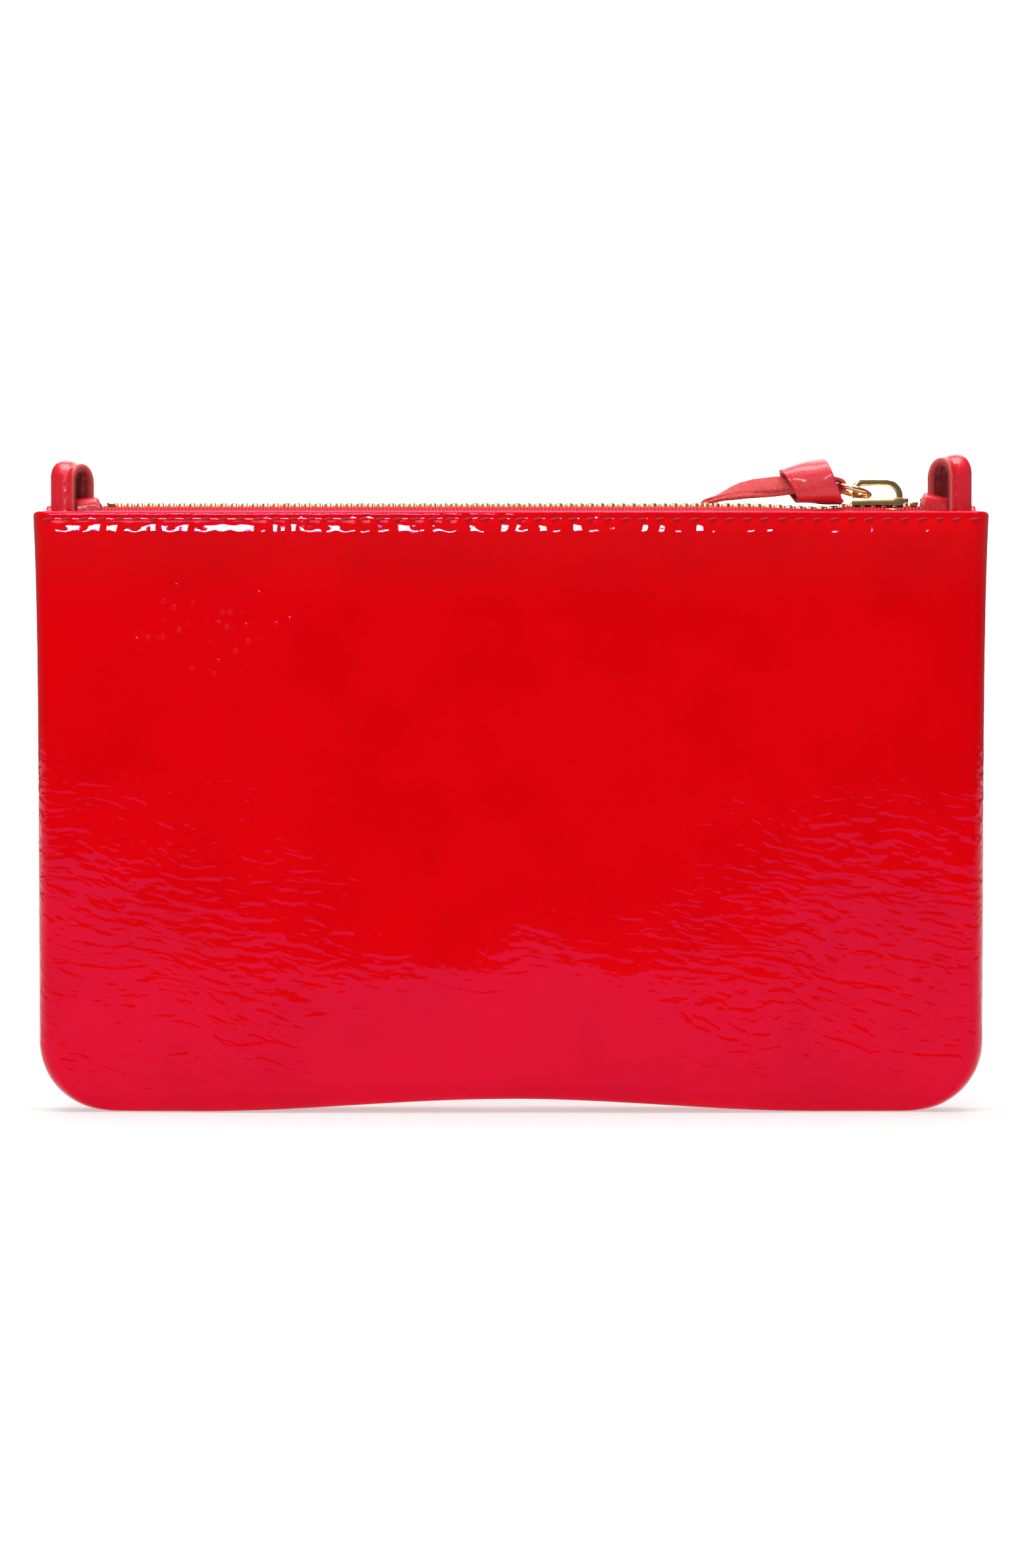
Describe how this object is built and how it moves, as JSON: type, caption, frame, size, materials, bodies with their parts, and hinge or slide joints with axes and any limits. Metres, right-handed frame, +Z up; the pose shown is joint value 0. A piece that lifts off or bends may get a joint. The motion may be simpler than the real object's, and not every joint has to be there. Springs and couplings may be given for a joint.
{
  "type": "zip-top pouch wallet",
  "caption": "Flat rectangular leather pouch wallet with a metal zip along the top, a knotted leather zip pull and a strap loop at each end of the zip.",
  "frame": {"origin": "middle of the bottom on the plane of the seam, on the surface that the pouch stands on", "axes": "+X along the zip towards its closed end, +Y from the front to the back, +Z up"},
  "size_m": [0.2286, 0.0174, 0.1567],
  "materials": {
    "patent_leather": "high-gloss red patent leather with fine crinkles",
    "patent_strap": "red patent leather strip, folded, with raw coral edges",
    "pull_leather": "soft red leather, satin grain side and coral flesh side",
    "lining_cloth": "plain woven lining",
    "zip_tape": "woven red tape",
    "thread": "red sewing thread",
    "gold_metal": "polished pale gold plating"
  },
  "bodies": {
    "root": {"back_panel": "patent_leather", "back_lining": "lining_cloth", "back_zip_tape": "zip_tape", "back_teeth": "gold_metal", "back_top_stop": "gold_metal", "front_top_stop": "gold_metal", "back_hem_thread": "thread", "seam_thread": "thread", "bottom_stop": "gold_metal", "left_strap_loop": "patent_strap", "right_strap_loop": "patent_strap", "left_end_tab": "patent_strap", "right_end_tab": "patent_strap"},
    "front_leaf": {"front_panel": "patent_leather", "front_lining": "lining_cloth", "front_zip_tape": "zip_tape", "front_teeth": "gold_metal", "front_hem_thread": "thread"},
    "slider": {"slider_body": "gold_metal", "slider_crown": "gold_metal"},
    "ring": {"pull_ring": "gold_metal"},
    "pull": {"pull_strap": "pull_leather", "pull_knot": "pull_leather"}
  },
  "joints": [
    {"name": "slider_travel", "type": "slide", "parent": "root", "child": "slider", "axis": [-1, 0, 0], "range_m": [0, 0.15], "deforming": ["back_teeth", "back_zip_tape", "front_teeth", "front_zip_tape"]},
    {"name": "mouth_open", "type": "hinge", "parent": "root", "child": "front_leaf", "pos_m": [0, 0, 0], "axis": [1, 0, 0], "range_deg": [0, 9], "deforming": ["front_teeth", "front_zip_tape"]},
    {"name": "ring_lift", "type": "hinge", "parent": "slider", "child": "ring", "pos_m": [0.08566, 0, 0.14714], "axis": [0, 1, 0], "range_deg": [0, 70]},
    {"name": "pull_swing", "type": "hinge", "parent": "ring", "child": "pull", "pos_m": [0.07774, 0, 0.14926], "axis": [0, 1, 0], "range_deg": [0, 40]}
  ],
  "couplings": [
    {"joint": "mouth_open", "follows": "slider_travel", "rad_per_m": 1.0472}
  ]
}
